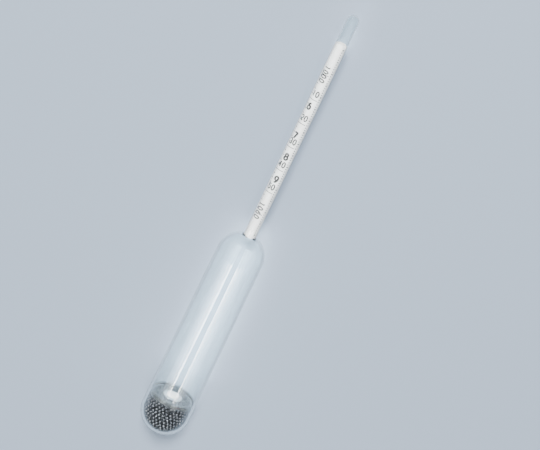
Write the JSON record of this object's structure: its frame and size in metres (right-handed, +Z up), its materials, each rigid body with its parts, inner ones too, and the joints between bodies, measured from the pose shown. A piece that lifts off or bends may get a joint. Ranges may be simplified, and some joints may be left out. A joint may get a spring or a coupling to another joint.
{
  "type": "hydrometer",
  "caption": "Sealed glass hydrometer: round-ended float weighted with steel shot under a clear retainer, slim stem holding a rolled paper scale.",
  "frame": {"origin": "on the surface that the float lies on, under the middle of the overall length", "axes": "+X along the instrument from the round end towards the sealed tip of the stem; +Z up, the side that the scale's numbers face"},
  "size_m": [0.2314, 0.0244, 0.0245],
  "materials": {
    "float_glass": "clear blown soda-lime glass",
    "stem_glass": "clear drawn glass tube",
    "steel_shot": "dark bare steel balls, lightly polished",
    "clear_resin": "clear cast resin, glossy",
    "white_wax": "translucent white sealing wax",
    "scale_paper": "smooth white scale paper",
    "printing_ink": "dark printing ink",
    "amber_glue": "dried amber glue"
  },
  "bodies": {
    "root": {"float_bulb": "float_glass", "stem_tube": "stem_glass", "ballast_shot": "steel_shot", "shot_retainer": "clear_resin", "wax_plug": "white_wax", "paper_scale": "scale_paper", "scale_graduations": "printing_ink", "scale_adhesive": "amber_glue"}
  },
  "joints": []
}
